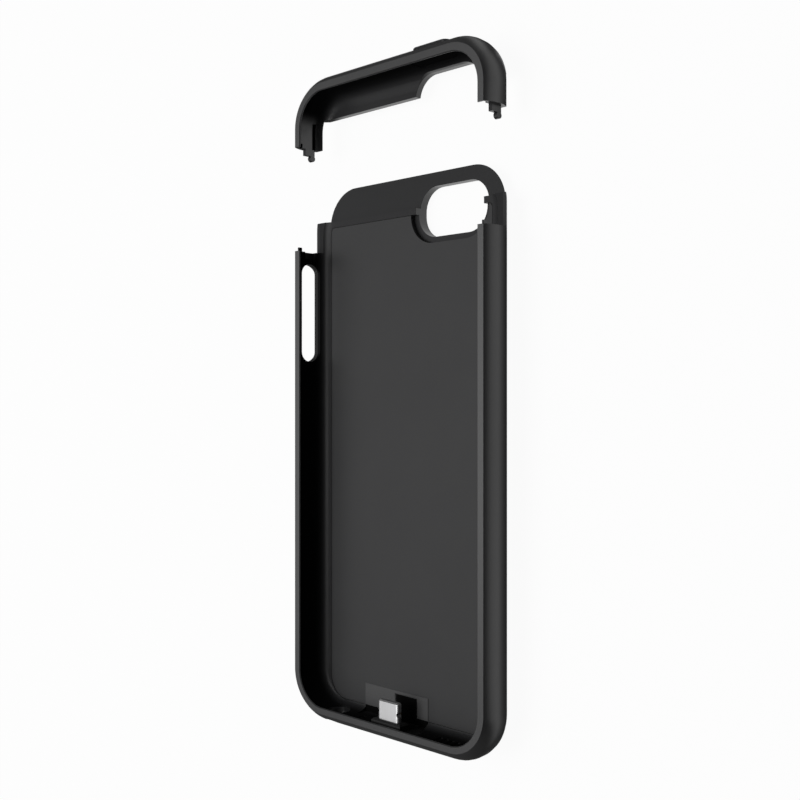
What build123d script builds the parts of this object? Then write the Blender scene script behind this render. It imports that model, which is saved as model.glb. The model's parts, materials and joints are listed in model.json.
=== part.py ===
from build123d import *
import os
from math import cos, pi, radians, sin, sqrt, tan

os.makedirs("parts", exist_ok=True)

# Battery charging case, lying on its flat back with the front up.
# X runs across the case, Y along it towards the cap, Z from the back to the front lip.
# All sizes are in millimetres.

# Cavity that the case closes round
cavity_length = 124.2
cavity_width = 59.0
cavity_depth = 7.8
cavity_corner = 8.8
bed_edge_rise = 3.5
bed_side_run = 3.5
bed_bottom_run = 1.5
bed_top_run = 4.0

# Walls and outer form
side_wall = 2.0
bottom_wall = 2.7
top_wall = 3.0
corner_radius = 10.8
corner_shrink = 0.5
side_edge_run = 12.0
end_edge_run = 3.5
form_levels = 8
lip_levels = 6
bed_levels = 6
back_depth = 4.5
back_wall = 0.9

# Front lip
lip_rise = 0.3
lip_overhang = 0.9
lip_arc = 7.5
lip_turn = 32.0
lip_end_turn = 55.0
lip_edge_break = 0.2

# Cap, lifted off by cap_lift
cap_height = 16.2
cap_lift = 25.3
panel_height = 8.7
panel_thickness = 1.6
ledge_rise = 0.8
parting_gap = 0.1

# Legs of the cap: tongue, snap peg, nub and rail groove
catch_clearance = 0.15
tongue_thickness = 1.0
tongue_length = 1.6
tongue_low = 7.0
tongue_high = 9.9
peg_radius = 0.75
peg_neck = 0.8
peg_length = 2.9
peg_height = 7.6
nub_thickness = 0.5
nub_height = 0.9
nub_low = 11.05
nub_high = 12.0
groove_width = 0.9
groove_depth = 0.6
groove_height = 7.4
groove_top_gap = 1.0

# Camera window, shared by the tray and the cap's rear panel
window_length = 20.6
window_width = 11.6
window_corner = 5.3
window_x = 13.3
window_drop = 4.1
window_bevel = 0.8

# Side window for the volume keys
key_window_length = 24.0
key_window_height = 5.2
key_window_corner = 2.4
key_window_setback = 3.0
key_height = 8.5

# Openings in the bottom wall
jack_x = -19.0
jack_radius = 2.9
port_height = 8.5
speaker_x = 18.0
speaker_slots = 6
speaker_pitch = 1.7
speaker_slot_width = 1.0
speaker_slot_height = 2.8
mic_x = -10.5
mic_slot_height = 1.8

# Power button in the top of the cap
power_x = 12.7
power_length = 10.7
power_width = 3.6
power_height = 8.9
power_proud = 0.2
power_edge = 0.2
power_clearance = 0.2
power_flange = 0.5
power_flange_thickness = 0.5
power_recess = 0.05
power_travel = 0.4

# Inner plate
plate_thickness = 1.2
plate_edge_gap = 0.1
plate_top_corner = 1.0
plate_setback = 1.6
plate_clearance = 0.1

# Battery room under the plate
room_ledge = 1.4
room_slope = 50.0
room_corner = 2.0
room_top_margin = 1.5

# Dock plug
plug_width = 6.6
plug_thickness = 1.5
plug_length = 6.0
plug_root = 0.7
plug_height = 9.75
plug_edge_round = 0.7
plug_tip_edge = 0.3
plug_notch_radius = 0.55
plug_notch_drop = 2.6
contact_count = 8
contact_pitch = 0.72
contact_width = 0.42
contact_length = 2.4
contact_thickness = 0.08
contact_drop = 0.8
base_width = 9.2
base_depth = 3.0
base_height = 1.6
base_root = 1.15
base_edge = 0.4
base_clearance = 0.1
plug_clearance = 0.05

# Flex strip from the plug's base to the main board
flex_x = 6.5
flex_width = 3.8
flex_thickness = 0.3
flex_clearance = 0.15
flex_reach = 5.2

# Relief behind the plug, and the label round it
relief_width = 6.8
relief_length = 6.0
relief_depth = 0.6
pad_proud = 0.1
pad_clearance = 0.1
label_left = -13.6
label_right = 7.0
label_top = 6.8
label_bottom = 1.7
label_thickness = 0.12
label_margin = 0.2

# Main board
board_side_gap = 1.65
board_length = 22.0
board_thickness = 0.7
board_lift = 0.85
board_corner = 4.0
board_end_gap = 0.35
boss_size = 3.2
boss_inset_x = 2.5
screw_radius = 0.45
screw_head_radius = 1.2
screw_head_height = 0.5
screw_depth = 1.0
screw_clearance = 0.1

# Charge socket
socket_width = 7.4
socket_height = 2.2
socket_length = 5.0
socket_wall = 0.25
socket_corner = 0.7
socket_setback = 3.1
socket_clearance = 0.1
insert_width = 5.2
insert_thickness = 0.6
insert_setback = 0.8

# Status lights and button on the lower back
light_count = 4
light_pitch = 4.0
light_x = -4.5
light_row = 16.5
light_width = 1.8
light_height = 0.9
light_flange = 0.4
light_flange_thickness = 0.25
light_recess = 0.1
light_clearance = 0.05
led_length = 0.9
led_width = 1.6
led_thickness = 0.5
button_x = 9.0
button_radius = 2.6
button_clearance = 0.2
button_flange = 0.7
button_flange_thickness = 0.3
button_recess = 0.15
button_gap = 0.03
switch_size = 3.4
switch_thickness = 0.2

# Parts on top of the board
controller_size = 4.0
power_chip_size = 5.0
chip_thickness = 0.7
inductor_size = 5.4
inductor_thickness = 0.8
capacitor_count = 5
capacitor_pitch = 2.2
capacitor_length = 1.6
capacitor_width = 0.8
capacitor_thickness = 0.7

# Battery
cell_thickness = 2.0
cell_side_gap = 1.0
cell_corner = 2.5
cell_edge = 0.6
cell_gap = 1.2
adhesive_thickness = 0.15
adhesive_margin = 4.0
guard_length = 30.0
guard_width = 4.0
guard_thickness = 0.6
guard_gap = 0.6
guard_lift = 0.7
guard_pad_margin = 1.0
tab_width = 3.0
tab_thickness = 0.15
tab_spacing = 20.0
lead_radius = 0.35
lead_spacing = 8.0
lead_overlap = 1.2
lead_gap = 3.6

# Heights and stations worked out from the sizes above
thickness = back_depth + cavity_depth + lip_rise
lip_drop = lip_arc * sin(radians(lip_turn))
lip_end_arc = lip_drop / sin(radians(lip_end_turn))
edge_rise = thickness - lip_drop
case_width = cavity_width + 2 * side_wall
closed_length = bottom_wall + cavity_length + top_wall
y_bottom = -(closed_length + cap_lift + power_proud) / 2
y_top = y_bottom + closed_length
case_middle = y_bottom + closed_length / 2
floor_end = y_bottom + bottom_wall
roof_end = y_top - top_wall
cavity_middle = floor_end + cavity_length / 2
wall_end = y_top - cap_height
leg_end = wall_end + parting_gap + cap_lift
panel_edge = y_top - panel_height
groove_end = panel_edge + cap_lift - groove_top_gap
tongue_front = back_depth - panel_thickness - parting_gap
inner_side = cavity_width / 2
ledge = back_depth + ledge_rise
flange_outer = roof_end + cap_lift + power_recess + power_flange_thickness
window_y = y_top - window_drop - window_width / 2
plate_bottom = back_depth - plate_thickness
plate_low = floor_end + bed_bottom_run + plate_edge_gap
plate_high = panel_edge - plate_setback
plate_width = cavity_width - 2 * (bed_side_run + plate_edge_gap)
plate_corner = cavity_corner - bed_side_run - plate_edge_gap
room_run = tan(radians(room_slope)) * (plate_bottom - back_wall)
room_low = plate_low + room_ledge
room_high = window_y - window_width / 2 - room_top_margin
room_width = plate_width - 2 * room_ledge
board_bottom = back_wall + board_lift
board_top = board_bottom + board_thickness
board_inset = tan(radians(room_slope)) * (plate_bottom - board_bottom)
board_width = room_width - 2 * (board_inset + board_side_gap)
board_low = room_low + board_inset + board_end_gap
board_middle = board_low + board_length / 2
light_y = y_bottom + light_row
board_high = board_low + board_length
guard_high = board_high + lead_gap + guard_width
cell_low = guard_high + guard_gap
cell_high = room_high - room_run - cell_gap
cell_length = cell_high - cell_low
cell_width = room_width - 2 * (room_run + cell_side_gap)
cell_bottom = back_wall + adhesive_thickness
guard_bottom = back_wall + guard_lift
guard_top = guard_bottom + guard_thickness
over = 5.0


def edge_share(height):
    """Share of the back edge's run that is still missing at a height above the back."""
    return 1 - sqrt(1 - max(1 - height / edge_rise, 0) ** 2)


def case_outline(height):
    """Outline of the closed case at a height above the back."""
    side_inset = side_edge_run * edge_share(height)
    end_inset = end_edge_run * edge_share(height)
    with Locations((0, case_middle)):
        RectangleRounded(
            case_width - 2 * side_inset,
            closed_length - 2 * end_inset,
            corner_radius - corner_shrink * side_inset,
        )


def lip_outline(rise):
    """Outline of the case at a rise above its widest level, on the arcs that lead in to the lip."""
    side_inset = lip_arc - sqrt(lip_arc**2 - rise**2)
    end_inset = lip_end_arc - sqrt(lip_end_arc**2 - rise**2)
    with Locations((0, case_middle)):
        RectangleRounded(
            case_width - 2 * side_inset,
            closed_length - 2 * end_inset,
            corner_radius - side_inset,
        )


def bed_outline(share):
    """Outline of the cavity on its rounded bed edge, from 0 at the bed to 1 at the wall."""
    run = 1 - sin(pi / 2 * share)
    with Locations((0, cavity_middle + (bed_bottom_run - bed_top_run) / 2 * run)):
        RectangleRounded(
            cavity_width - 2 * bed_side_run * run,
            cavity_length - (bed_bottom_run + bed_top_run) * run,
            cavity_corner - bed_side_run * run,
        )


def cap_step(gap, lift):
    """Side view of the room that the cap takes in the closed case."""
    Polygon(
        (wall_end + gap + lift, thickness + over),
        (wall_end + gap + lift, ledge + gap),
        (panel_edge + gap + lift, ledge + gap),
        (panel_edge + gap + lift, tongue_front + gap),
        (y_top + lift + over, tongue_front + gap),
        (y_top + lift + over, thickness + over),
        align=None,
    )


def plate_outline(clearance):
    """Outline of the inner plate, with full corners at the plug end."""
    with Locations((0, (plate_low + plate_high) / 2)):
        Rectangle(plate_width + 2 * clearance, plate_high - plate_low + 2 * clearance)


def bosses():
    """Places of the two board bosses."""
    return GridLocations(board_width - 2 * boss_inset_x, 1, 2, 1)


# Closed form of the whole case, lofted up from the flat back
with BuildPart() as case_form:
    for step in range(form_levels + 1):
        height = edge_rise * (1 - sin(pi / 2 * (form_levels - step) / form_levels))
        with BuildSketch(Plane.XY.offset(height)):
            case_outline(height)
    for step in range(1, lip_levels + 1):
        rise = lip_drop * sin(pi / 2 * step / lip_levels)
        with BuildSketch(Plane.XY.offset(edge_rise + rise)):
            lip_outline(rise)
    loft(ruled=True)

# Cavity with its rounded bed edge and the narrower mouth under the lip
with BuildPart() as cavity_form:
    for step in range(bed_levels + 1):
        share = step / bed_levels
        with BuildSketch(Plane.XY.offset(back_depth + bed_edge_rise * (1 - cos(pi / 2 * share)))):
            bed_outline(share)
    loft(ruled=True)
    with BuildSketch(Plane.XY.offset(back_depth + bed_edge_rise)):
        bed_outline(1)
    extrude(amount=cavity_depth - lip_overhang - bed_edge_rise)
    with BuildSketch(Plane.XY.offset(back_depth + cavity_depth - lip_overhang)):
        with Locations((0, cavity_middle)):
            RectangleRounded(cavity_width, cavity_length, cavity_corner)
    extrude(amount=lip_overhang, taper=45)
    with BuildSketch(Plane.XY.offset(back_depth + cavity_depth)):
        with Locations((0, cavity_middle)):
            RectangleRounded(
                cavity_width - 2 * lip_overhang,
                cavity_length - 2 * lip_overhang,
                cavity_corner - lip_overhang,
            )
    extrude(amount=lip_rise)
    with BuildSketch(Plane.XY.offset(thickness - lip_edge_break)):
        with Locations((0, cavity_middle)):
            RectangleRounded(
                cavity_width - 2 * lip_overhang,
                cavity_length - 2 * lip_overhang,
                cavity_corner - lip_overhang,
            )
    extrude(amount=2 * lip_edge_break, taper=-45)

# Battery room with sloping lower walls that follow the outer form
with BuildPart() as room_form:
    with BuildSketch(Plane.XY.offset(back_wall)):
        with Locations((0, (room_low + room_high) / 2)):
            RectangleRounded(
                room_width - 2 * room_run,
                room_high - room_low - 2 * room_run,
                room_corner,
            )
    extrude(amount=plate_bottom - back_wall, taper=-room_slope)

# Camera window, flared towards the back
with BuildPart() as window_form:
    with BuildSketch(Plane.XY.offset(-over)):
        with Locations((window_x, window_y)):
            RectangleRounded(window_length, window_width, window_corner)
    extrude(amount=thickness + 2 * over)
    with BuildSketch(Plane.XY.offset(-window_bevel)):
        with Locations((window_x, window_y)):
            RectangleRounded(
                window_length + 4 * window_bevel,
                window_width + 4 * window_bevel,
                window_corner + 2 * window_bevel,
            )
    extrude(amount=2 * window_bevel, taper=45)

# Outer shell of the tray, with the tongue that runs up behind the cap
with BuildPart() as outer_shell:
    add(case_form.part)
    with BuildSketch(Plane.YZ):
        cap_step(0, 0)
    extrude(amount=case_width, both=True, mode=Mode.SUBTRACT)
    add(cavity_form.part, mode=Mode.SUBTRACT)
    with BuildSketch(Plane.XY.offset(plate_bottom)) as pocket:
        plate_outline(plate_clearance)
        fillet(pocket.vertices().group_by(Axis.Y)[0], plate_corner)
        fillet(pocket.vertices().group_by(Axis.Y)[-1], plate_top_corner)
    extrude(amount=plate_thickness + over, mode=Mode.SUBTRACT)
    add(room_form.part, mode=Mode.SUBTRACT)
    add(window_form.part, mode=Mode.SUBTRACT)
    # Recess below the label, which the plug's pad fills
    with BuildSketch(Plane.XY.offset(back_depth - relief_depth)):
        with Locations(((label_left + label_right) / 2, (floor_end + plate_low) / 2)):
            Rectangle(label_right - label_left, plate_low - floor_end)
    extrude(amount=relief_depth + bed_edge_rise, mode=Mode.SUBTRACT)
    # Key window in the left wall
    with BuildSketch(Plane.YZ.offset(-case_width)):
        with Locations((wall_end - key_window_setback - key_window_length / 2, key_height)):
            RectangleRounded(key_window_length, key_window_height, key_window_corner)
    extrude(amount=case_width / 2 + side_wall + bed_side_run, mode=Mode.SUBTRACT)
    # Jack hole, speaker slots and microphone slot in the bottom wall
    with BuildSketch(Plane.XZ.offset(-floor_end - side_wall)):
        with Locations((jack_x, port_height)):
            Circle(jack_radius)
        with Locations((speaker_x, port_height)):
            with GridLocations(speaker_pitch, 1, speaker_slots, 1):
                Rectangle(speaker_slot_width, speaker_slot_height)
        with Locations((mic_x, port_height)):
            Rectangle(speaker_slot_width, mic_slot_height)
    extrude(amount=bottom_wall + side_wall + over, mode=Mode.SUBTRACT)
    # Mouth of the charge socket
    with BuildSketch(Plane.XZ.offset(-room_low - room_run)):
        with Locations((0, back_wall + socket_clearance + socket_height / 2)):
            RectangleRounded(
                socket_width + 2 * socket_clearance,
                socket_height + 2 * socket_clearance,
                socket_corner + socket_clearance,
            )
    extrude(amount=room_low + room_run - y_bottom + over, mode=Mode.SUBTRACT)
    # Seat of the plug's base and channel of its flex strip
    with BuildSketch(Plane.XZ.offset(-floor_end)):
        with Locations((0, plug_height)):
            Rectangle(base_width + 2 * base_clearance, base_depth + 2 * base_clearance)
        with Locations((flex_x, plug_height)):
            Rectangle(flex_width + 2 * flex_clearance, base_depth + 2 * base_clearance)
    extrude(amount=base_root + base_clearance, mode=Mode.SUBTRACT)
    with BuildSketch(Plane.YZ.offset(flex_x)):
        with BuildLine():
            Polyline(
                (floor_end - flex_thickness - flex_clearance, plug_height),
                (floor_end - flex_thickness - flex_clearance, board_top - flex_clearance),
                (room_low + room_run, board_top - flex_clearance),
                (room_low + room_run, board_top + flex_thickness + flex_clearance),
                (floor_end, board_top + flex_thickness + flex_clearance),
                (floor_end, plug_height),
                close=True,
            )
        make_face()
    extrude(amount=flex_width / 2 + flex_clearance, both=True, mode=Mode.SUBTRACT)
    # Holes for the light pipes and the status button
    with BuildSketch():
        with Locations((light_x, light_y)):
            with GridLocations(light_pitch, 1, light_count, 1):
                Rectangle(light_width + 2 * light_clearance, light_height + 2 * light_clearance)
        with Locations((button_x, light_y)):
            Circle(button_radius + button_clearance)
    extrude(amount=2 * back_wall, mode=Mode.SUBTRACT)
    # Board bosses with pilot holes
    with BuildSketch(Plane.XY.offset(back_wall / 2)):
        with Locations((0, board_middle)):
            with bosses():
                Rectangle(boss_size, boss_size)
    extrude(amount=board_bottom - back_wall / 2)
    with BuildSketch(Plane.XY.offset(board_bottom)):
        with Locations((0, board_middle)):
            with bosses():
                Circle(screw_radius + screw_clearance / 2)
    extrude(amount=-screw_depth - screw_clearance, mode=Mode.SUBTRACT)
    # Wall ends: seats of the cap's tongues and pegs, and the two nubs
    for side in (-1, 1):
        with BuildSketch(Plane.YZ.offset(side * (inner_side - groove_depth))):
            with Locations((wall_end, (tongue_low + tongue_high) / 2)):
                Rectangle(
                    2 * (tongue_length + catch_clearance),
                    tongue_high - tongue_low + 2 * catch_clearance,
                )
            with Locations((wall_end - peg_length / 2, peg_height)):
                Rectangle(peg_length, 2 * (peg_radius + catch_clearance))
            with Locations((wall_end - peg_length + peg_radius, peg_height)):
                Circle(peg_radius + catch_clearance)
        extrude(
            amount=side * (groove_depth + tongue_thickness + catch_clearance),
            mode=Mode.SUBTRACT,
        )
        with BuildSketch(Plane.YZ.offset(side * inner_side)):
            with Locations((wall_end, (nub_low + nub_high) / 2)):
                Rectangle(2 * nub_height, nub_high - nub_low)
        extrude(amount=side * nub_thickness)
outer_shell.part.label = "outer_shell"
export_step(outer_shell.part, "parts/outer_shell.step")

# Top cap: the closed form above the step, hollowed by the same cavity
with BuildPart() as top_cap:
    with Locations((0, cap_lift, 0)):
        add(case_form.part)
    with BuildSketch(Plane.YZ):
        cap_step(parting_gap, cap_lift)
    extrude(amount=case_width, both=True, mode=Mode.INTERSECT)
    with Locations((0, cap_lift, 0)):
        add(cavity_form.part, mode=Mode.SUBTRACT)
    with Locations((0, cap_lift, 0)):
        add(window_form.part, mode=Mode.SUBTRACT)
    # Legs: tongue and snap peg, nub recess and rail groove
    for side in (-1, 1):
        with BuildSketch(Plane.YZ.offset(side * inner_side)):
            with Locations((leg_end, (tongue_low + tongue_high) / 2)):
                Rectangle(2 * tongue_length, tongue_high - tongue_low)
            with Locations((leg_end - peg_length / 2, peg_height)):
                Rectangle(peg_length - peg_radius, peg_neck)
            with Locations((leg_end - peg_length + peg_radius, peg_height)):
                Circle(peg_radius)
        extrude(amount=side * tongue_thickness)
        with BuildSketch(Plane.YZ.offset(side * (inner_side - lip_overhang))):
            with Locations((leg_end, (nub_low + nub_high) / 2)):
                Rectangle(
                    2 * (nub_height + catch_clearance),
                    nub_high - nub_low + 2 * catch_clearance,
                )
        extrude(
            amount=side * (lip_overhang + nub_thickness + catch_clearance),
            mode=Mode.SUBTRACT,
        )
        with BuildSketch(Plane.YZ.offset(side * (inner_side - groove_depth))):
            with Locations(((leg_end + groove_end) / 2, groove_height)):
                Rectangle(groove_end - leg_end, groove_width)
        extrude(amount=side * 2 * groove_depth, mode=Mode.SUBTRACT)
    # Slot of the power button, with a wider seat for its flange inside
    with BuildSketch(Plane.XZ.offset(-roof_end - cap_lift)):
        with Locations((power_x, power_height)):
            RectangleRounded(
                power_length + 2 * power_clearance,
                power_width + 2 * power_clearance,
                power_width / 2,
            )
    extrude(amount=-top_wall - over, mode=Mode.SUBTRACT)
    with BuildSketch(Plane.XZ.offset(-flange_outer - parting_gap)):
        with Locations((power_x, power_height)):
            RectangleRounded(
                power_length + 2 * (power_flange + power_clearance),
                power_width + 2 * (power_flange + power_clearance),
                power_width / 2,
            )
    extrude(
        amount=power_flange_thickness + power_travel + 2 * parting_gap,
        mode=Mode.SUBTRACT,
    )
top_cap.part.label = "top_cap"
export_step(top_cap.part, "parts/top_cap.step")

# Power button: pad through the slot and a flange behind the wall
with BuildPart() as power_button:
    with BuildSketch(Plane.XZ.offset(-flange_outer)):
        with Locations((power_x, power_height)):
            RectangleRounded(
                power_length + 2 * power_flange,
                power_width + 2 * power_flange,
                power_width / 2,
            )
    extrude(amount=power_flange_thickness)
    with BuildSketch(Plane.XZ.offset(-flange_outer)):
        with Locations((power_x, power_height)):
            RectangleRounded(power_length, power_width, power_width / 2 - power_clearance)
    extrude(amount=-(y_top + cap_lift + power_proud - flange_outer))
    chamfer(power_button.faces().sort_by(Axis.Y)[-1].edges(), power_edge)
power_button.part.label = "power_button"
export_step(power_button.part, "parts/power_button.step")

# Inner plate with the relief behind the plug and the camera cut-out
with BuildPart() as inner_plate:
    with BuildSketch(Plane.XY.offset(plate_bottom)) as plate_face:
        plate_outline(0)
        fillet(plate_face.vertices().group_by(Axis.Y)[0], plate_corner)
        fillet(plate_face.vertices().group_by(Axis.Y)[-1], plate_top_corner)
        with Locations((window_x, window_y)):
            RectangleRounded(
                window_length + 2 * room_top_margin,
                window_width + 2 * room_top_margin,
                window_corner + room_top_margin,
                mode=Mode.SUBTRACT,
            )
    extrude(amount=plate_thickness)
    with BuildSketch(Plane.XY.offset(back_depth)):
        with Locations((0, floor_end + relief_length / 2)):
            Rectangle(relief_width, relief_length)
    extrude(amount=-relief_depth, mode=Mode.SUBTRACT)
inner_plate.part.label = "inner_plate"
export_step(inner_plate.part, "parts/inner_plate.step")

# Black pad behind the plug, with a strip below the label
with BuildPart() as plug_pad:
    with BuildSketch(Plane.XY.offset(back_depth - relief_depth)):
        with Locations((0, floor_end + relief_length / 2)):
            Rectangle(relief_width - 2 * pad_clearance, relief_length - 2 * pad_clearance)
        with Locations(((label_left + label_right) / 2, (floor_end + plate_low) / 2)):
            Rectangle(
                label_right - label_left - 2 * pad_clearance,
                plate_low - floor_end - 2 * pad_clearance,
            )
    extrude(amount=relief_depth + pad_proud)
plug_pad.part.label = "plug_pad"
export_step(plug_pad.part, "parts/plug_pad.step")

# Bare label, cut out round the relief
with BuildPart() as info_label:
    with BuildSketch(Plane.XY.offset(back_depth)):
        with Locations(((label_left + label_right) / 2, floor_end + (label_top + label_bottom) / 2)):
            Rectangle(label_right - label_left, label_top - label_bottom)
        with Locations((0, floor_end + relief_length / 2)):
            Rectangle(
                relief_width + 2 * label_margin,
                relief_length + 2 * label_margin,
                mode=Mode.SUBTRACT,
            )
    extrude(amount=label_thickness)
info_label.part.label = "info_label"
export_step(info_label.part, "parts/info_label.step")

# Metal tip of the dock plug, with a notch in each side
plug_tip_end = floor_end + plug_length
with BuildPart() as plug_tip:
    with BuildSketch(Plane.XZ.offset(-floor_end + plug_root)):
        with Locations((0, plug_height)):
            RectangleRounded(plug_width, plug_thickness, plug_edge_round)
    extrude(amount=-plug_root - plug_length)
    chamfer(plug_tip.faces().sort_by(Axis.Y)[-1].edges(), plug_tip_edge)
    with BuildSketch(Plane.XY.offset(plug_height - plug_thickness)):
        with Locations((0, plug_tip_end - plug_notch_drop)):
            with GridLocations(plug_width, 1, 2, 1):
                Circle(plug_notch_radius)
    extrude(amount=2 * plug_thickness, mode=Mode.SUBTRACT)
plug_tip.part.label = "plug_tip"
export_step(plug_tip.part, "parts/plug_tip.step")

# Contacts on the rear face of the plug
with BuildPart() as plug_contacts:
    with BuildSketch(Plane.XY.offset(plug_height - plug_thickness / 2 - contact_thickness)):
        with Locations((0, plug_tip_end - contact_drop - contact_length / 2)):
            with GridLocations(contact_pitch, 1, contact_count, 1):
                Rectangle(contact_width, contact_length)
    extrude(amount=contact_thickness)
plug_contacts.part.label = "plug_contacts"
export_step(plug_contacts.part, "parts/plug_contacts.step")

# Black base that the plug stands in, let into the bottom wall
with BuildPart() as plug_base:
    with BuildSketch(Plane.XZ.offset(-floor_end)):
        with Locations((0, plug_height)):
            Rectangle(base_width, base_depth)
    extrude(amount=-base_height)
    chamfer(plug_base.faces().sort_by(Axis.Y)[-1].edges(), base_edge)
    with BuildSketch(Plane.XZ.offset(-floor_end)):
        with Locations((0, plug_height)):
            Rectangle(base_width, base_depth)
        with Locations((flex_x, plug_height)):
            Rectangle(flex_width, base_depth)
    extrude(amount=base_root)
    with BuildSketch(Plane.XZ.offset(-floor_end + plug_root + plug_clearance)):
        with Locations((0, plug_height)):
            RectangleRounded(
                plug_width + 2 * plug_clearance,
                plug_thickness + 2 * plug_clearance,
                plug_edge_round + plug_clearance,
            )
    extrude(amount=-plug_root - plug_length, mode=Mode.SUBTRACT)
plug_base.part.label = "plug_base"
export_step(plug_base.part, "parts/plug_base.step")

# Flex strip down the bottom wall and on to the board
with BuildPart() as plug_flex:
    with BuildSketch(Plane.YZ.offset(flex_x)):
        with BuildLine():
            Polyline(
                (floor_end - flex_thickness, plug_height - base_depth / 2),
                (floor_end - flex_thickness, board_top),
                (floor_end + flex_reach, board_top),
                (floor_end + flex_reach, board_top + flex_thickness),
                (floor_end, board_top + flex_thickness),
                (floor_end, plug_height - base_depth / 2),
                close=True,
            )
        make_face()
    extrude(amount=flex_width / 2, both=True)
plug_flex.part.label = "plug_flex"
export_step(plug_flex.part, "parts/plug_flex.step")

# Main board with a cut-out for the charge socket
socket_mouth = y_bottom + socket_setback
socket_back = socket_mouth + socket_length
with BuildPart() as main_board:
    with BuildSketch(Plane.XY.offset(board_bottom)):
        with Locations((0, board_middle)):
            RectangleRounded(board_width, board_length, board_corner)
            with bosses():
                Circle(screw_radius + screw_clearance, mode=Mode.SUBTRACT)
        with Locations((0, socket_back + socket_clearance - socket_length)):
            Rectangle(
                socket_width + 2 * socket_clearance,
                2 * socket_length,
                mode=Mode.SUBTRACT,
            )
    extrude(amount=board_thickness)
main_board.part.label = "main_board"
export_step(main_board.part, "parts/main_board.step")

# Screws that hold the board to its bosses
with BuildPart() as board_screws:
    with BuildSketch(Plane.XY.offset(board_top)):
        with Locations((0, board_middle)):
            with bosses():
                Circle(screw_head_radius)
    extrude(amount=screw_head_height)
    with BuildSketch(Plane.XY.offset(board_top)):
        with Locations((0, board_middle)):
            with bosses():
                Circle(screw_radius)
    extrude(amount=-board_thickness - screw_depth)
board_screws.part.label = "board_screws"
export_step(board_screws.part, "parts/board_screws.step")

# Charge socket, a folded metal shell open at the mouth
socket_middle = back_wall + socket_clearance + socket_height / 2
with BuildPart() as charge_socket:
    with BuildSketch(Plane.XZ.offset(-socket_mouth)):
        with Locations((0, socket_middle)):
            RectangleRounded(socket_width, socket_height, socket_corner)
    extrude(amount=-socket_length)
    with BuildSketch(Plane.XZ.offset(-socket_mouth)):
        with Locations((0, socket_middle)):
            RectangleRounded(
                socket_width - 2 * socket_wall,
                socket_height - 2 * socket_wall,
                socket_corner - socket_wall,
            )
    extrude(amount=-(socket_length - socket_wall), mode=Mode.SUBTRACT)
charge_socket.part.label = "charge_socket"
export_step(charge_socket.part, "parts/charge_socket.step")

# Contact insert of the charge socket
with BuildPart() as socket_insert:
    with BuildSketch(Plane.XZ.offset(-socket_mouth - insert_setback)):
        with Locations((0, socket_middle)):
            Rectangle(insert_width, insert_thickness)
    extrude(amount=-(socket_length - socket_wall - insert_setback))
socket_insert.part.label = "socket_insert"
export_step(socket_insert.part, "parts/socket_insert.step")

# Status LEDs under the board
with BuildPart() as status_leds:
    with BuildSketch(Plane.XY.offset(board_bottom - led_thickness)):
        with Locations((light_x, light_y)):
            with GridLocations(light_pitch, 1, light_count, 1):
                Rectangle(led_width, led_length)
    extrude(amount=led_thickness)
status_leds.part.label = "status_leds"
export_step(status_leds.part, "parts/status_leds.step")

# Clear light pipes in the back, flanged inside
with BuildPart() as light_pipes:
    with BuildSketch(Plane.XY.offset(light_recess)):
        with Locations((light_x, light_y)):
            with GridLocations(light_pitch, 1, light_count, 1):
                Rectangle(light_width, light_height)
    extrude(amount=back_wall - light_recess)
    with BuildSketch(Plane.XY.offset(back_wall)):
        with Locations((light_x, light_y)):
            with GridLocations(light_pitch, 1, light_count, 1):
                Rectangle(light_width + 2 * light_flange, light_height + 2 * light_flange)
    extrude(amount=light_flange_thickness)
light_pipes.part.label = "light_pipes"
export_step(light_pipes.part, "parts/light_pipes.step")

# Status button in the back, with a flange inside
with BuildPart() as status_button:
    with BuildSketch(Plane.XY.offset(button_recess)):
        with Locations((button_x, light_y)):
            Circle(button_radius)
    extrude(amount=back_wall + button_gap - button_recess)
    with BuildSketch(Plane.XY.offset(back_wall + button_gap)):
        with Locations((button_x, light_y)):
            Circle(button_radius + button_flange)
    extrude(amount=button_flange_thickness)
    chamfer(status_button.faces().sort_by(Axis.Z)[0].edges(), button_recess)
status_button.part.label = "status_button"
export_step(status_button.part, "parts/status_button.step")

# Switch under the board, over the status button
with BuildPart() as tact_switch:
    with BuildSketch(Plane.XY.offset(board_bottom - switch_thickness)):
        with Locations((button_x, light_y)):
            Rectangle(switch_size, switch_size)
    extrude(amount=switch_thickness)
tact_switch.part.label = "tact_switch"
export_step(tact_switch.part, "parts/tact_switch.step")

# Chips, inductor and capacitors on top of the board
with BuildPart() as controller_chip:
    with BuildSketch(Plane.XY.offset(board_top)):
        with Locations((-board_width / 4, board_middle)):
            Rectangle(controller_size, controller_size)
    extrude(amount=chip_thickness)
controller_chip.part.label = "controller_chip"
export_step(controller_chip.part, "parts/controller_chip.step")

with BuildPart() as power_chip:
    with BuildSketch(Plane.XY.offset(board_top)):
        with Locations((0, board_middle)):
            Rectangle(power_chip_size, power_chip_size)
    extrude(amount=chip_thickness)
power_chip.part.label = "power_chip"
export_step(power_chip.part, "parts/power_chip.step")

with BuildPart() as inductor:
    with BuildSketch(Plane.XY.offset(board_top)):
        with Locations((board_width / 4, board_middle)):
            Rectangle(inductor_size, inductor_size)
    extrude(amount=inductor_thickness)
inductor.part.label = "inductor"
export_step(inductor.part, "parts/inductor.step")

with BuildPart() as capacitors:
    with BuildSketch(Plane.XY.offset(board_top)):
        with Locations((0, board_middle + board_length / 4)):
            with GridLocations(capacitor_pitch, 1, capacitor_count, 1):
                Rectangle(capacitor_width, capacitor_length)
    extrude(amount=capacitor_thickness)
capacitors.part.label = "capacitors"
export_step(capacitors.part, "parts/capacitors.step")

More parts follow.
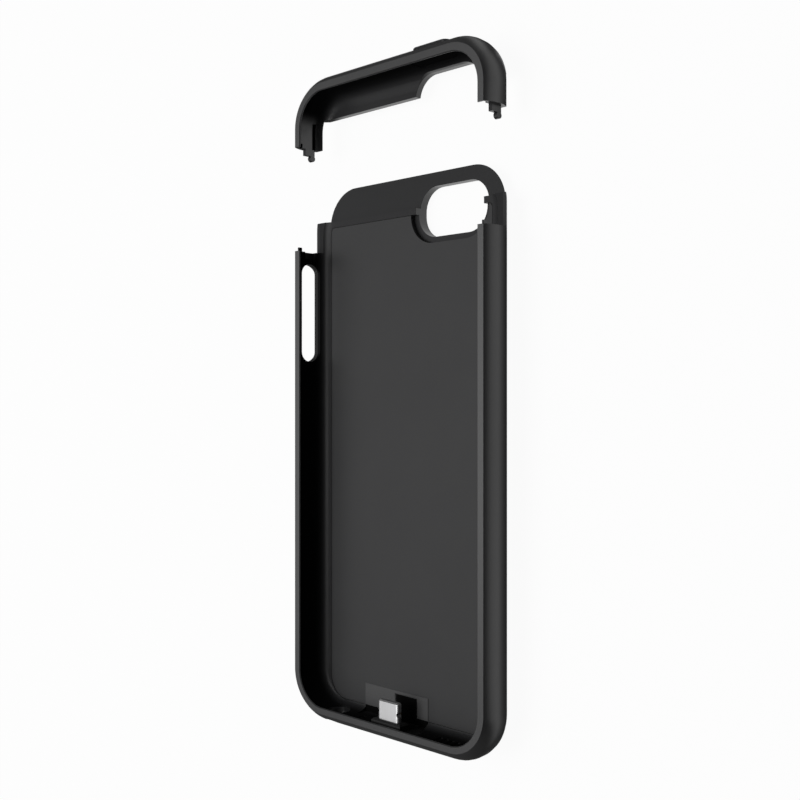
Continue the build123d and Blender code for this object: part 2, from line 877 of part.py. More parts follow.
# Flat battery cell, stuck down to the back
with BuildPart() as cell_adhesive:
    with BuildSketch(Plane.XY.offset(back_wall)):
        with Locations((0, (cell_low + cell_high) / 2)):
            Rectangle(cell_width - 2 * adhesive_margin, cell_length - 2 * adhesive_margin)
    extrude(amount=adhesive_thickness)
cell_adhesive.part.label = "cell_adhesive"
export_step(cell_adhesive.part, "parts/cell_adhesive.step")

with BuildPart() as battery_cell:
    with BuildSketch(Plane.XY.offset(cell_bottom)):
        with Locations((0, (cell_low + cell_high) / 2)):
            RectangleRounded(cell_width, cell_length, cell_corner)
    extrude(amount=cell_thickness)
    chamfer(battery_cell.faces().sort_by(Axis.Z)[0].edges(), cell_edge)
    chamfer(battery_cell.faces().sort_by(Axis.Z)[-1].edges(), cell_edge)
battery_cell.part.label = "battery_cell"
export_step(battery_cell.part, "parts/battery_cell.step")

# Protection board on its foam pad, with the cell's tabs and its leads
with BuildPart() as guard_pad:
    with BuildSketch(Plane.XY.offset(back_wall)):
        with Locations((0, guard_high - guard_width / 2)):
            Rectangle(guard_length - 2 * guard_pad_margin, guard_width - 2 * guard_pad_margin)
    extrude(amount=guard_lift)
guard_pad.part.label = "guard_pad"
export_step(guard_pad.part, "parts/guard_pad.step")

with BuildPart() as guard_board:
    with BuildSketch(Plane.XY.offset(guard_bottom)):
        with Locations((0, guard_high - guard_width / 2)):
            Rectangle(guard_length, guard_width)
    extrude(amount=guard_thickness)
guard_board.part.label = "guard_board"
export_step(guard_board.part, "parts/guard_board.step")

with BuildPart() as cell_tabs:
    with BuildSketch(Plane.XY.offset(guard_top)):
        with Locations((0, cell_low - (guard_gap + guard_width / 2) / 2)):
            with GridLocations(tab_spacing, 1, 2, 1):
                Rectangle(tab_width, guard_gap + guard_width / 2)
    extrude(amount=tab_thickness)
cell_tabs.part.label = "cell_tabs"
export_step(cell_tabs.part, "parts/cell_tabs.step")

lead_start = board_high - lead_overlap
lead_end = guard_high - guard_width + lead_overlap
with BuildPart() as battery_leads:
    with BuildSketch(Plane.XZ.offset(-lead_start)):
        with Locations((0, board_top + lead_radius)):
            with GridLocations(lead_spacing, 1, 2, 1):
                Circle(lead_radius)
    extrude(amount=-(lead_end - lead_start))
battery_leads.part.label = "battery_leads"
export_step(battery_leads.part, "parts/battery_leads.step")
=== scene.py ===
import json
import math

import bmesh
import bpy
import numpy as np
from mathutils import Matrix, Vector


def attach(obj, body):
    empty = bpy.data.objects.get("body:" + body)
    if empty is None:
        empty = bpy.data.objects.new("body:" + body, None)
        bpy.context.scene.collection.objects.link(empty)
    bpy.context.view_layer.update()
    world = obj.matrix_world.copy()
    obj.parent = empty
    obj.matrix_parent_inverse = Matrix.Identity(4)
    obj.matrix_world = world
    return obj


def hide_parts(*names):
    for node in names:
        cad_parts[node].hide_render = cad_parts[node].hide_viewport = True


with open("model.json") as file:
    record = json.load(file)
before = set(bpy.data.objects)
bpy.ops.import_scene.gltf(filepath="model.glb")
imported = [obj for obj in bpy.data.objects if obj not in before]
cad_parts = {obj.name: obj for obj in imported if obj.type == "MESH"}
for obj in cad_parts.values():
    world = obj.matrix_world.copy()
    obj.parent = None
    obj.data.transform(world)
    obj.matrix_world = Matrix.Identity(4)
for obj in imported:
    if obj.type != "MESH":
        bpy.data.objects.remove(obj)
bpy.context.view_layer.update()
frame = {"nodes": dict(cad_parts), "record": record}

bl_info = {
    "name": "Battery Charging Case",
    "version": (1, 0, 0),
    "blender": (4, 5, 0),
    "location": "3D View > Sidebar > Case",
    "description": "Finishes and stage for a battery charging case with a lift-off cap",
    "category": "Object",
}

MM = 0.001
FADE_IN, FADE_OUT = (0.0, 1.0), (1.0, 0.0)

# Moulded copies: edges under the angle are shaded as one round, points within the distance are one.
ROUND_ANGLE = math.radians(32)
WELD_DISTANCE = 0.001 * MM

# Surface groups: noise of the handling marks (scale per metre), detail of grain and lines, and the
# stretch that draws noise out to lines.
MARKS_SCALE, MARKS_DETAIL, MARKS_ROUGHNESS = 45.0, 4.0, 0.6
GRAIN_DETAIL, LINE_DETAIL = 2.0, 3.0
LINE_STRETCH = (1.0, 0.04, 1.0)

# Hollow, whose walls and cap roof get painted shade: heights over which the bed turns to wall, Y where
# the cap's legs turn to its roof, and the upright part of a normal from which a face counts as level.
WALL_RISE = (4.5 * MM, 6.5 * MM)
ROOF_START = (65.5 * MM, 70.5 * MM)
LEVEL_NORMAL = (0.9, 0.98)

# Floor: gap under the case, share of its own white, its lit white, and its grey to the light.
FLOOR_GAP = 0.02 * MM
OWN_WHITE_SHARE = 0.95
LIT_WHITE = (0.85, 0.85, 0.85, 1)
TABLE_GREY = (0.3, 0.3, 0.3, 1)

# Painted reflection: the floor's white that mirrors see, kept dark under the case as painted shadow
# and white in bands beside it as painted highlight; ranges along X or Y, and levels at the ends of
# each range.
BESIDE_X, BESIDE_LEVELS = (31 * MM, 42 * MM), (0.06, 1.0)
FAR_X, FAR_LEVELS = (60 * MM, 300 * MM), (1.0, 0.25)
AHEAD_Y, AHEAD_LEVELS = (-100 * MM, -66 * MM), (0.1, 1.0)
BEHIND_Y = (84 * MM, 100 * MM)
RIGHT_X = (5 * MM, 30 * MM)
WINDOW_MIDDLE_Y = 57 * MM
WINDOW_X, WINDOW_Y = (26 * MM, 31 * MM), (17 * MM, 23 * MM)

# Room: heights over which walls turn to ceiling, and the dark side round the camera's direction.
CEILING_RISE = (0.5, 0.95)
DARK_SIDE = (math.sqrt(0.5), 0, math.sqrt(0.5))
DARK_SIDE_RISE = (0.35, 0.85)

# Lamps and camera, in metres and millimetres of sensor.
KEY_PLACE, KEY_SIZE = (-0.63, 0.0, 0.54), (0.5, 0.42)
TOP_PLACE, TOP_SIZE = (-0.15, 0.0, 0.85), (0.5, 0.5)
LAMP_TARGET = (0, 0, 0)
SENSOR_WIDTH = 36.0
CLIP_START = 5 * MM

nodes = frame["nodes"]
slots = {part["node"]: part["material_slot"] for part in frame["record"]["subparts"]}


class CaseFinishSettings(bpy.types.PropertyGroup):
    """Colours and surface detail of the case."""

    shell_color: bpy.props.FloatVectorProperty(
        name="Shell", description="Satin plastic of the shell and cap",
        subtype="COLOR", size=3, min=0, max=1, default=(0.027, 0.027, 0.028))
    bed_color: bpy.props.FloatVectorProperty(
        name="Bed", description="Inner plate under the device",
        subtype="COLOR", size=3, min=0, max=1, default=(0.05, 0.05, 0.051))
    label_color: bpy.props.FloatVectorProperty(
        name="Label", description="Bare film behind the plug",
        subtype="COLOR", size=3, min=0, max=1, default=(0.075, 0.075, 0.076))
    plug_color: bpy.props.FloatVectorProperty(
        name="Plug", description="Nickel plating of the plug and socket",
        subtype="COLOR", size=3, min=0, max=1, default=(0.62, 0.62, 0.625))
    base_color: bpy.props.FloatVectorProperty(
        name="Plug base", description="Black moulding round the plug",
        subtype="COLOR", size=3, min=0, max=1, default=(0.006, 0.006, 0.006))
    lip_gloss: bpy.props.FloatProperty(
        name="Lip gloss", description="Mirror strength of the lip and outer faces",
        default=0.7, min=0, max=1)
    bed_gloss: bpy.props.FloatProperty(
        name="Bed gloss", description="Mirror strength of the bed and level faces below the lip",
        default=0.12, min=0, max=1)
    # Painted shade: share of the colour left on the hollow's walls and the cap's roof, where shade
    # falls.
    painted_wall_shade: bpy.props.FloatProperty(
        name="Wall tone", description="Share of the colour on the hollow's walls",
        default=0.4, min=0, max=1)
    grain_size: bpy.props.FloatProperty(
        name="Grain size", description="Pitch of the spark grain in the moulds",
        subtype="DISTANCE", unit="LENGTH", default=0.22 * MM, min=0.01 * MM)
    grain_depth: bpy.props.FloatProperty(
        name="Grain depth", description="Depth of the spark grain",
        subtype="DISTANCE", unit="LENGTH", default=0.006 * MM, min=0)


class CaseStageSettings(bpy.types.PropertyGroup):
    """Camera, lamps and floor."""

    camera_place: bpy.props.FloatVectorProperty(
        name="Camera place", description="Where the camera stands",
        subtype="TRANSLATION", unit="LENGTH", default=(180.5 * MM, -0.5 * MM, 187.05 * MM))
    camera_turn: bpy.props.FloatProperty(
        name="Camera turn", description="Turn of the view from straight down towards the side",
        subtype="ANGLE", unit="ROTATION", default=math.radians(45))
    lens: bpy.props.FloatProperty(
        name="Lens", description="Focal length in millimetres", default=50.0, min=10, max=200)
    floor_size: bpy.props.FloatProperty(
        name="Floor", description="Width of the floor",
        subtype="DISTANCE", unit="LENGTH", default=6.0, min=1)
    key_power: bpy.props.FloatProperty(
        name="Key light", description="Power of the large soft lamp over the left side",
        subtype="POWER", unit="POWER", default=0.6, min=0)
    top_power: bpy.props.FloatProperty(
        name="Top light", description="Power of the soft lamp over the case",
        subtype="POWER", unit="POWER", default=3.9, min=0)
    room_top: bpy.props.FloatProperty(
        name="Ceiling light", description="Light from straight above", default=0.8, min=0)
    room_low: bpy.props.FloatProperty(
        name="Wall light", description="Light from the walls of the room", default=0.12, min=0)
    room_shade: bpy.props.FloatProperty(
        name="Dark side", description="Share of the light left on the camera's side",
        default=0.1, min=0, max=1)


def look():
    """Finish settings of the scene."""
    return bpy.context.scene.case_finish


def stage():
    """Stage settings of the scene."""
    return bpy.context.scene.case_stage


def add_group(name, inputs, outputs):
    """New shader node group with float inputs (name, default) and outputs (name, socket type)."""
    group = bpy.data.node_groups.new(name, "ShaderNodeTree")
    for label, default in inputs:
        socket = group.interface.new_socket(label, in_out="INPUT", socket_type="NodeSocketFloat")
        socket.default_value = default
    for label, kind in outputs:
        group.interface.new_socket(label, in_out="OUTPUT", socket_type=kind)
    start = group.nodes.new("NodeGroupInput")
    end = group.nodes.new("NodeGroupOutput")
    return group, start, end


def math_node(tree, operation, first, second):
    """Math node whose inputs are sockets or plain numbers."""
    node = tree.nodes.new("ShaderNodeMath")
    node.operation = operation
    for socket, value in zip(node.inputs, (first, second)):
        if isinstance(value, (int, float)):
            socket.default_value = value
        else:
            tree.links.new(value, socket)
    return node.outputs[0]


def range_node(tree, value, spread, result):
    """Smooth step of a value from one range on to another."""
    node = tree.nodes.new("ShaderNodeMapRange")
    node.interpolation_type = "SMOOTHSTEP"
    for label, number in zip(("From Min", "From Max", "To Min", "To Max"), (*spread, *result)):
        node.inputs[label].default_value = number
    tree.links.new(value, node.inputs["Value"])
    return node.outputs["Result"]


def spark_grain_group():
    """Moulded grain: fine noise for height, broad noise for handling marks and tone."""
    group, start, end = add_group(
        "case_grain",
        [("Pitch", 0.2 * MM), ("Marks", 0.1)],
        [("Height", "NodeSocketFloat"), ("Shine", "NodeSocketFloat"), ("Tone", "NodeSocketFloat")],
    )
    place = group.nodes.new("ShaderNodeTexCoord").outputs["Object"]
    fine = group.nodes.new("ShaderNodeTexNoise")
    fine.inputs["Detail"].default_value = GRAIN_DETAIL
    group.links.new(place, fine.inputs["Vector"])
    group.links.new(math_node(group, "DIVIDE", 1.0, start.outputs["Pitch"]), fine.inputs["Scale"])
    group.links.new(fine.outputs["Fac"], end.inputs["Height"])
    broad = group.nodes.new("ShaderNodeTexNoise")
    broad.inputs["Scale"].default_value = MARKS_SCALE
    broad.inputs["Detail"].default_value = MARKS_DETAIL
    broad.inputs["Roughness"].default_value = MARKS_ROUGHNESS
    group.links.new(place, broad.inputs["Vector"])
    centred = math_node(group, "SUBTRACT", broad.outputs["Fac"], 0.5)
    marks = math_node(group, "MULTIPLY", centred, start.outputs["Marks"])
    group.links.new(marks, end.inputs["Shine"])
    speck = math_node(group, "SUBTRACT", fine.outputs["Fac"], 0.5)
    both = math_node(group, "ADD", speck, centred)
    group.links.new(math_node(group, "ADD", both, 1.0), end.inputs["Tone"])
    return group


def drawn_lines_group():
    """Fine lines along Y, as drawing or brushing leaves on plated metal."""
    group, start, end = add_group(
        "case_lines",
        [("Pitch", 0.1 * MM), ("Marks", 0.1)],
        [("Height", "NodeSocketFloat"), ("Shine", "NodeSocketFloat"), ("Tone", "NodeSocketFloat")],
    )
    place = group.nodes.new("ShaderNodeTexCoord").outputs["Object"]
    stretch = group.nodes.new("ShaderNodeMapping")
    stretch.inputs["Scale"].default_value = LINE_STRETCH
    group.links.new(place, stretch.inputs["Vector"])
    lines = group.nodes.new("ShaderNodeTexNoise")
    lines.inputs["Detail"].default_value = LINE_DETAIL
    group.links.new(stretch.outputs["Vector"], lines.inputs["Vector"])
    group.links.new(math_node(group, "DIVIDE", 1.0, start.outputs["Pitch"]), lines.inputs["Scale"])
    group.links.new(lines.outputs["Fac"], end.inputs["Height"])
    centred = math_node(group, "SUBTRACT", lines.outputs["Fac"], 0.5)
    marks = math_node(group, "MULTIPLY", centred, start.outputs["Marks"])
    group.links.new(marks, end.inputs["Shine"])
    group.links.new(math_node(group, "ADD", centred, 1.0), end.inputs["Tone"])
    return group


def inside_group():
    """Masks of the matt faces.

    Mask: the rounded box of the cavity, without the cap's legs, and level faces below the lip.
    Wall: that box alone, rising from the bed to the walls; it darkens their colour as painted shade.
    """
    group, start, end = add_group(
        "case_inside",
        [("Half width", 29.6 * MM), ("Half length", 75.1 * MM), ("Corner", 8.9 * MM),
         ("Low", 4.4 * MM), ("High", 12.3 * MM), ("Tray end", 53.0 * MM)],
        [("Mask", "NodeSocketFloat"), ("Wall", "NodeSocketFloat")])
    source = group.nodes.new("ShaderNodeTexCoord")
    parts = group.nodes.new("ShaderNodeSeparateXYZ")
    group.links.new(source.outputs["Object"], parts.inputs["Vector"])
    corner = start.outputs["Corner"]
    reach = group.nodes.new("ShaderNodeCombineXYZ")
    for axis, half in (("X", "Half width"), ("Y", "Half length")):
        away = math_node(group, "ABSOLUTE", parts.outputs[axis], 0.0)
        straight = math_node(group, "SUBTRACT", start.outputs[half], corner)
        past = math_node(group, "SUBTRACT", away, straight)
        group.links.new(math_node(group, "MAXIMUM", past, 0.0), reach.inputs[axis])
    length = group.nodes.new("ShaderNodeVectorMath")
    length.operation = "LENGTH"
    group.links.new(reach.outputs["Vector"], length.inputs[0])
    within = math_node(group, "LESS_THAN", length.outputs["Value"], corner)
    above = math_node(group, "GREATER_THAN", parts.outputs["Z"], start.outputs["Low"])
    below = math_node(group, "LESS_THAN", parts.outputs["Z"], start.outputs["High"])
    tray = math_node(group, "LESS_THAN", parts.outputs["Y"], start.outputs["Tray end"])
    roof = range_node(group, parts.outputs["Y"], ROOF_START, FADE_IN)
    hollow = math_node(group, "MINIMUM", within, math_node(group, "MAXIMUM", tray, roof))
    box = math_node(group, "MINIMUM", hollow, math_node(group, "MINIMUM", above, below))
    facing = group.nodes.new("ShaderNodeSeparateXYZ")
    group.links.new(source.outputs["Normal"], facing.inputs["Vector"])
    upward = range_node(group, facing.outputs["Z"], LEVEL_NORMAL, FADE_IN)
    level = math_node(group, "MINIMUM", upward, below)
    group.links.new(math_node(group, "MAXIMUM", box, level), end.inputs["Mask"])
    # Painted shade mask: the hollow's walls from the bed up.
    rise = range_node(group, parts.outputs["Z"], WALL_RISE, FADE_IN)
    group.links.new(math_node(group, "MINIMUM", box, rise), end.inputs["Wall"])
    return group


GROUPS = {"grain": spark_grain_group, "lines": drawn_lines_group, "inside": inside_group}


def surface_group(kind):
    """Shared node group of that kind, built once."""
    return bpy.data.node_groups.get("case_" + kind) or GROUPS[kind]()


def finish_material(name, color, roughness, kind="grain", pitch=0.2 * MM, depth=0.004 * MM,
                    marks=0.1, tone=0.1, **constants):
    """Principled material: a surface group varies colour and roughness and feeds a bump."""
    material = bpy.data.materials.new(name)
    material.use_nodes = True
    tree = material.node_tree
    shader = tree.nodes["Principled BSDF"]
    for socket, value in constants.items():
        shader.inputs[socket.replace("_", " ")].default_value = value
    detail = tree.nodes.new("ShaderNodeGroup")
    detail.node_tree = surface_group(kind)
    detail.inputs["Pitch"].default_value = pitch
    detail.inputs["Marks"].default_value = marks
    spread = tree.nodes.new("ShaderNodeMapRange")
    spread.inputs["From Min"].default_value = 0.5
    spread.inputs["From Max"].default_value = 1.5
    spread.inputs["To Min"].default_value = 1 - tone
    spread.inputs["To Max"].default_value = 1 + tone
    tree.links.new(detail.outputs["Tone"], spread.inputs["Value"])
    tint = tree.nodes.new("ShaderNodeVectorMath")
    tint.operation = "SCALE"
    tint.inputs[0].default_value = tuple(color)[:3]
    tree.links.new(spread.outputs["Result"], tint.inputs["Scale"])
    tree.links.new(tint.outputs["Vector"], shader.inputs["Base Color"])
    rough = math_node(tree, "ADD", detail.outputs["Shine"], roughness)
    tree.links.new(rough, shader.inputs["Roughness"])
    bump = tree.nodes.new("ShaderNodeBump")
    bump.inputs["Strength"].default_value = 1.0
    bump.inputs["Distance"].default_value = depth
    tree.links.new(detail.outputs["Height"], bump.inputs["Height"])
    tree.links.new(bump.outputs["Normal"], shader.inputs["Normal"])
    return material


def dull_and_shade_inside(material):
    """Dulls the bed and level faces below the lip, takes all gloss off the walls, and darkens the
    walls' colour as painted shade.
    """
    tree = material.node_tree
    mask = tree.nodes.new("ShaderNodeGroup")
    mask.node_tree = surface_group("inside")
    gloss = tree.nodes.new("ShaderNodeMapRange")
    gloss.inputs["To Min"].default_value = look().lip_gloss
    gloss.inputs["To Max"].default_value = look().bed_gloss
    tree.links.new(mask.outputs["Mask"], gloss.inputs["Value"])
    shader = tree.nodes["Principled BSDF"]
    open_share = math_node(tree, "SUBTRACT", 1.0, mask.outputs["Wall"])
    sheen = math_node(tree, "MULTIPLY", gloss.outputs["Result"], open_share)
    tree.links.new(sheen, shader.inputs["Specular IOR Level"])
    tint = shader.inputs["Base Color"].links[0].from_node
    # Painted shade: the walls' colour is scaled down towards the wall share.
    tone = tree.nodes.new("ShaderNodeMapRange")
    tone.inputs["To Min"].default_value = 1.0
    tone.inputs["To Max"].default_value = look().painted_wall_shade
    tree.links.new(mask.outputs["Wall"], tone.inputs["Value"])
    grain = tint.inputs["Scale"].links[0].from_socket
    tree.links.new(math_node(tree, "MULTIPLY", grain, tone.outputs["Result"]), tint.inputs["Scale"])
    return material


def smooth_copy(node, body):
    """Copy of a moulded CAD node: doubles merged, shallow edges shaded as one round."""
    mesh = nodes[node].data.copy()
    form = bmesh.new()
    form.from_mesh(mesh)
    bmesh.ops.remove_doubles(form, verts=form.verts, dist=WELD_DISTANCE)
    form.to_mesh(mesh)
    form.free()
    if "custom_normal" in mesh.attributes:
        mesh.attributes.remove(mesh.attributes["custom_normal"])
    mesh.shade_smooth()
    mesh.set_sharp_from_angle(angle=ROUND_ANGLE)
    piece = bpy.data.objects.new(node + "_moulded", mesh)
    bpy.context.scene.collection.objects.link(piece)
    even = piece.modifiers.new("even_normals", "WEIGHTED_NORMAL")
    even.keep_sharp = True
    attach(piece, body)
    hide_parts(node)


def dress(node, material):
    """Gives a CAD node one material."""
    mesh = nodes[node].data
    mesh.materials.clear()
    mesh.materials.append(material)


def dress_slots(makers):
    """Makes one material for each of these record slots and gives it to the slot's nodes."""
    made = {slot: maker() for slot, maker in makers.items()}
    for node, slot in slots.items():
        if slot in made:
            dress(node, made[slot])


class CASE_OT_shell(bpy.types.Operator):
    """Satin moulded plastic of the shell, the cap and the keys"""

    bl_idname = "case.shell"
    bl_label = "Shell and cap"

    def execute(self, context):
        grain = dict(pitch=look().grain_size, depth=look().grain_depth)
        dress_slots({
            "shell_plastic": lambda: dull_and_shade_inside(finish_material(
                "satin_black", look().shell_color, 0.34, tone=0.12, **grain)),
            "button_plastic": lambda: dull_and_shade_inside(finish_material(
                "satin_key", look().shell_color, 0.3, **grain)),
        })
        smooth_copy("outer_shell", "tray")
        smooth_copy("top_cap", "cap")
        return {"FINISHED"}


class CASE_OT_bed(bpy.types.Operator):
    """Inner plate and the bare film label on it"""

    bl_idname = "case.bed"
    bl_label = "Bed and label"

    def execute(self, context):
        dress_slots({
            "bed_plastic": lambda: finish_material(
                "bed_satin", look().bed_color, 0.4, pitch=0.3 * MM, depth=0.006 * MM, marks=0.12,
                Specular_IOR_Level=look().bed_gloss),
            "label_film": lambda: finish_material(
                "label_film", look().label_color, 0.32, pitch=0.5 * MM, depth=0.002 * MM,
                marks=0.08, Specular_IOR_Level=0.2),
        })
        return {"FINISHED"}


class CASE_OT_plug(bpy.types.Operator):
    """Dock plug, its base, and the charge socket"""

    bl_idname = "case.plug"
    bl_label = "Plug and socket"

    def execute(self, context):
        dress_slots({
            "plug_metal": lambda: finish_material(
                "satin_nickel", look().plug_color, 0.42, kind="lines", pitch=0.12 * MM,
                depth=0.002 * MM, tone=0.06, Metallic=1.0),
            "contact_gold": lambda: finish_material(
                "gold_flash", (0.75, 0.52, 0.2), 0.26, kind="lines", pitch=0.1 * MM,
                depth=0.001 * MM, tone=0.05, Metallic=1.0),
            "base_plastic": lambda: finish_material(
                "plug_base_black", look().base_color, 0.45, pitch=0.2 * MM, depth=0.004 * MM),
            # Painted shadow: a near-black pad stands where the plug's and the lip's shadows fall
            # behind the plug and under the label.
            "pad_foam": lambda: finish_material(
                "painted_shadow_pad", (0.003, 0.003, 0.003), 0.9, pitch=0.15 * MM, depth=0.02 * MM,
                Specular_IOR_Level=0.05),
            "flex_film": lambda: finish_material(
                "black_film", (0.01, 0.01, 0.01), 0.4, kind="lines", pitch=0.4 * MM,
                depth=0.004 * MM),
        })
        return {"FINISHED"}


class CASE_OT_board(bpy.types.Operator):
    """Main board, its parts, and the lights in the back"""

    bl_idname = "case.board"
    bl_label = "Board and lights"

    def execute(self, context):
        dress_slots({
            "board_green": lambda: finish_material(
                "solder_resist", (0.02, 0.11, 0.05), 0.3, pitch=0.6 * MM, depth=0.004 * MM,
                tone=0.2),
            "screw_steel": lambda: finish_material(
                "zinc_steel", (0.5, 0.5, 0.51), 0.35, kind="lines", pitch=0.1 * MM,
                depth=0.002 * MM, Metallic=1.0),
            "led_body": lambda: finish_material(
                "led_white", (0.8, 0.79, 0.74), 0.4, pitch=0.3 * MM, depth=0.002 * MM, tone=0.04),
            "clear_pipe": lambda: finish_material(
                "frosted_pipe", (0.75, 0.78, 0.8), 0.35, pitch=0.15 * MM, depth=0.003 * MM,
                tone=0.05, Transmission_Weight=0.5),
            "chip_black": lambda: finish_material(
                "chip_epoxy", (0.018, 0.018, 0.02), 0.5, pitch=0.12 * MM, depth=0.004 * MM),
            "ferrite": lambda: finish_material(
                "ferrite_grey", (0.09, 0.09, 0.092), 0.6, pitch=0.15 * MM, depth=0.008 * MM),
            "ceramic": lambda: finish_material(
                "fired_ceramic", (0.36, 0.26, 0.17), 0.45, pitch=0.2 * MM, depth=0.003 * MM),
        })
        return {"FINISHED"}


class CASE_OT_battery(bpy.types.Operator):
    """Battery pouch, its tape and leads"""

    bl_idname = "case.battery"
    bl_label = "Battery"

    def execute(self, context):
        dress_slots({
            "cell_foil": lambda: finish_material(
                "pouch_foil", (0.56, 0.57, 0.59), 0.4, pitch=1.5 * MM, depth=0.03 * MM,
                Metallic=0.9),
            "tape": lambda: finish_material(
                "foam_tape", (0.1, 0.1, 0.1), 0.8, pitch=0.25 * MM, depth=0.02 * MM),
            "lead_cover": lambda: finish_material(
                "lead_red", (0.3, 0.02, 0.02), 0.38, pitch=0.2 * MM, depth=0.003 * MM),
        })
        return {"FINISHED"}


def plain_sight(tree, path):
    """One for rays of the camera and through glass, nought for the others."""
    camera, glass = path.outputs["Is Camera Ray"], path.outputs["Is Transmission Ray"]
    return math_node(tree, "MAXIMUM", camera, glass)


def light_path_mix(tree, shown, seen_by_light, output):
    """Joins two shaders: one for camera, mirror and glass rays, one for all other rays."""
    path = tree.nodes.new("ShaderNodeLightPath")
    seen = math_node(tree, "MAXIMUM", plain_sight(tree, path), path.outputs["Is Glossy Ray"])
    mix = tree.nodes.new("ShaderNodeMixShader")
    tree.links.new(seen, mix.inputs["Fac"])
    tree.links.new(seen_by_light, mix.inputs[1])
    tree.links.new(shown, mix.inputs[2])
    tree.links.new(mix.outputs["Shader"], output)


def floor_material():
    """White floor: mostly its own white to the eye, lit white for the shadow, grey to the light; to
    mirrors it shows a painted reflection, dark under the case and white in bands beside it.

    It is clear from below, so that the back can be looked at.
    """
    material = bpy.data.materials.new("white_floor")
    material.use_nodes = True
    tree = material.node_tree
    tree.nodes.remove(tree.nodes["Principled BSDF"])
    lit = tree.nodes.new("ShaderNodeBsdfDiffuse")
    lit.inputs["Color"].default_value = LIT_WHITE
    own = tree.nodes.new("ShaderNodeEmission")
    place = tree.nodes.new("ShaderNodeTexCoord").outputs["Object"]
    parts = tree.nodes.new("ShaderNodeSeparateXYZ")
    tree.links.new(place, parts.inputs["Vector"])
    # Painted reflection for mirrors: white beside the case's right side, under the cap and past its
    # top corner; painted shadow under the case.
    beside = range_node(tree, parts.outputs["X"], BESIDE_X, BESIDE_LEVELS)
    far = range_node(tree, parts.outputs["X"], FAR_X, FAR_LEVELS)
    ahead = range_node(tree, parts.outputs["Y"], AHEAD_Y, AHEAD_LEVELS)
    across = math_node(tree, "ABSOLUTE", parts.outputs["X"], 0.0)
    along = math_node(tree, "SUBTRACT", parts.outputs["Y"], WINDOW_MIDDLE_Y)
    inside = range_node(tree, across, WINDOW_X, FADE_OUT)
    between = range_node(tree, math_node(tree, "ABSOLUTE", along, 0.0), WINDOW_Y, FADE_OUT)
    window = math_node(tree, "MINIMUM", inside, between)
    behind = range_node(tree, parts.outputs["Y"], BEHIND_Y, FADE_IN)
    right = range_node(tree, parts.outputs["X"], RIGHT_X, FADE_IN)
    round_end = math_node(tree, "MINIMUM", behind, right)
    strip = math_node(tree, "MINIMUM", math_node(tree, "MAXIMUM", beside, round_end), far)
    painted_reflection = math_node(tree, "MAXIMUM", math_node(tree, "MINIMUM", strip, ahead), window)
    plain = plain_sight(tree, tree.nodes.new("ShaderNodeLightPath"))
    tree.links.new(math_node(tree, "MAXIMUM", plain, painted_reflection), own.inputs["Strength"])
    shown = tree.nodes.new("ShaderNodeMixShader")
    shown.inputs["Fac"].default_value = OWN_WHITE_SHARE
    tree.links.new(lit.outputs["BSDF"], shown.inputs[1])
    tree.links.new(own.outputs["Emission"], shown.inputs[2])
    one_sided = tree.nodes.new("ShaderNodeMixShader")
    table = tree.nodes.new("ShaderNodeBsdfDiffuse")
    table.inputs["Color"].default_value = TABLE_GREY
    light_path_mix(tree, shown.outputs["Shader"], table.outputs["BSDF"], one_sided.inputs[1])
    below = tree.nodes.new("ShaderNodeNewGeometry").outputs["Backfacing"]
    tree.links.new(below, one_sided.inputs["Fac"])
    clear = tree.nodes.new("ShaderNodeBsdfTransparent").outputs["BSDF"]
    tree.links.new(clear, one_sided.inputs[2])
    tree.links.new(one_sided.outputs["Shader"], tree.nodes["Material Output"].inputs["Surface"])
    return material


def add_floor():
    """Flat grid (u, v) -> (u, v, -gap) under the case, a hair below its back."""
    half = stage().floor_size / 2
    u, v = np.meshgrid(np.linspace(-half, half, 3), np.linspace(-half, half, 3), indexing="ij")
    points = np.stack([u, v, np.full_like(u, -FLOOR_GAP)], axis=-1).reshape(-1, 3)
    index = np.arange(9).reshape(3, 3)
    quads = np.stack([index[:-1, :-1], index[1:, :-1], index[1:, 1:], index[:-1, 1:]], axis=-1)
    mesh = bpy.data.meshes.new("floor")
    mesh.from_pydata(points.tolist(), [], quads.reshape(-1, 4).tolist())
    mesh.materials.append(floor_material())
    floor = bpy.data.objects.new("floor", mesh)
    bpy.context.scene.collection.objects.link(floor)


def add_lamp(name, place, target, size, power):
    """Rectangular area lamp at a place, aimed at a target."""
    data = bpy.data.lights.new(name, "AREA")
    data.shape = "RECTANGLE"
    data.size, data.size_y = size
    data.energy = power
    lamp = bpy.data.objects.new(name, data)
    lamp.location = place
    lamp.rotation_mode = "QUATERNION"
    lamp.rotation_quaternion = (Vector(target) - Vector(place)).to_track_quat("-Z", "Y")
    bpy.context.scene.collection.objects.link(lamp)


def add_camera():
    """Camera that looks down across the case, with the case's length upright in the picture."""
    data = bpy.data.cameras.new("camera")
    data.lens = stage().lens
    data.sensor_width = SENSOR_WIDTH
    data.clip_start = CLIP_START
    camera = bpy.data.objects.new("camera", data)
    camera.rotation_euler = (0, stage().camera_turn, 0)
    camera.location = stage().camera_place
    bpy.context.scene.collection.objects.link(camera)
    bpy.context.scene.camera = camera


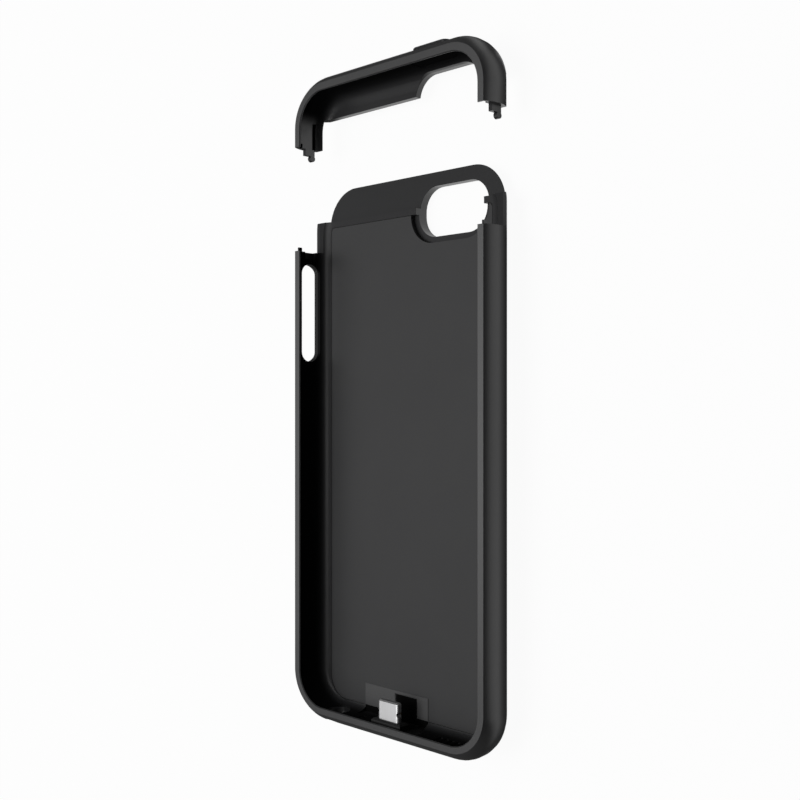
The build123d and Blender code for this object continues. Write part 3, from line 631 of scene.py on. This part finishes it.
def light_room():
    """Dim room with a dark side, white to the eye: a smooth step of the height to a pale ceiling."""
    world = bpy.data.worlds.new("room")
    bpy.context.scene.world = world
    world.use_nodes = True
    tree = world.node_tree
    place = tree.nodes.new("ShaderNodeTexCoord").outputs["Generated"]
    parts = tree.nodes.new("ShaderNodeSeparateXYZ")
    tree.links.new(place, parts.inputs["Vector"])
    sky = range_node(tree, parts.outputs["Z"], CEILING_RISE, (stage().room_low, stage().room_top))
    facing = tree.nodes.new("ShaderNodeVectorMath")
    facing.operation = "DOT_PRODUCT"
    facing.inputs[1].default_value = DARK_SIDE
    tree.links.new(place, facing.inputs[0])
    shade = range_node(tree, facing.outputs["Value"], DARK_SIDE_RISE, (1.0, stage().room_shade))
    background = tree.nodes["Background"]
    background.inputs["Color"].default_value = (1, 1, 1, 1)
    plain = plain_sight(tree, tree.nodes.new("ShaderNodeLightPath"))
    room = math_node(tree, "MULTIPLY", sky, shade)
    tree.links.new(math_node(tree, "MAXIMUM", plain, room), background.inputs["Strength"])


class CASE_OT_stage(bpy.types.Operator):
    """Floor, lamps, world and camera"""

    bl_idname = "case.stage"
    bl_label = "Stage"

    def execute(self, context):
        context.scene.view_settings.view_transform = "Standard"
        add_floor()
        light_room()
        add_camera()
        add_lamp("key", KEY_PLACE, LAMP_TARGET, KEY_SIZE, stage().key_power)
        add_lamp("top", TOP_PLACE, LAMP_TARGET, TOP_SIZE, stage().top_power)
        return {"FINISHED"}


class CASE_PT_panel(bpy.types.Panel):
    """Sidebar list of the case's operators"""

    bl_idname = "CASE_PT_panel"
    bl_label = "Battery Charging Case"
    bl_space_type = "VIEW_3D"
    bl_region_type = "UI"
    bl_category = "Case"

    def draw(self, context):
        for operator in OPERATORS:
            self.layout.operator(operator.bl_idname)


OPERATORS = (CASE_OT_shell, CASE_OT_bed, CASE_OT_plug, CASE_OT_board, CASE_OT_battery,
             CASE_OT_stage)
CLASSES = (CaseFinishSettings, CaseStageSettings, *OPERATORS, CASE_PT_panel)


def register():
    """Registers the classes and hangs the settings on the scene."""
    for cls in CLASSES:
        bpy.utils.register_class(cls)
    bpy.types.Scene.case_finish = bpy.props.PointerProperty(type=CaseFinishSettings)
    bpy.types.Scene.case_stage = bpy.props.PointerProperty(type=CaseStageSettings)


def unregister():
    """Takes the settings off the scene and unregisters the classes."""
    del bpy.types.Scene.case_stage
    del bpy.types.Scene.case_finish
    for cls in reversed(CLASSES):
        bpy.utils.unregister_class(cls)


def main():
    """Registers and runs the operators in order."""
    register()
    bpy.ops.case.shell()
    bpy.ops.case.bed()
    bpy.ops.case.plug()
    bpy.ops.case.board()
    bpy.ops.case.battery()
    bpy.ops.case.stage()


if __name__ == "__main__":
    main()
